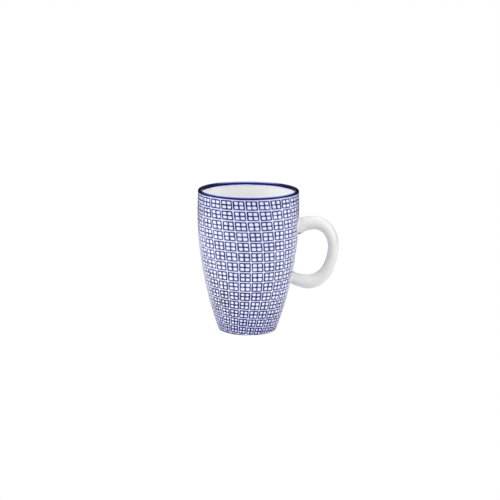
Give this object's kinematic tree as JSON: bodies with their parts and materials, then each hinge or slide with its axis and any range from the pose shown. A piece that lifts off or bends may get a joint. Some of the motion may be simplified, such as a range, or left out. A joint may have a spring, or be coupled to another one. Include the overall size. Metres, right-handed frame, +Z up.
{
  "type": "mug",
  "caption": "Tall tapered drinking mug with a bowed wall, a rounded lip, a turned foot ring and a two-finger loop handle; blue window-pane print outside.",
  "frame": {"origin": "on the cup's axis, in the plane of the foot ring", "axes": "+Z up along the cup's axis, +X towards the handle, +Y completes a right-handed frame"},
  "size_m": [0.1187, 0.085, 0.12],
  "materials": {
    "fired_clay": "fired white clay, unglazed, fine grained; bare only on the foot ring",
    "slip": "fired slip of the same clay",
    "white_glaze": "clear gloss glaze over white clay",
    "blue_print": "indigo transfer print of four-pane windows on a pale lavender wash, gloss",
    "cobalt_band": "hand-banded very dark cobalt blue, high gloss"
  },
  "bodies": {
    "root": {"cup_body": "fired_clay", "handle": "fired_clay", "upper_slip_joint": "slip", "lower_slip_joint": "slip", "liner_glaze": "white_glaze", "outer_glaze": "white_glaze", "handle_glaze": "white_glaze", "base_glaze": "white_glaze", "window_print": "blue_print", "rim_band": "cobalt_band"}
  },
  "joints": []
}
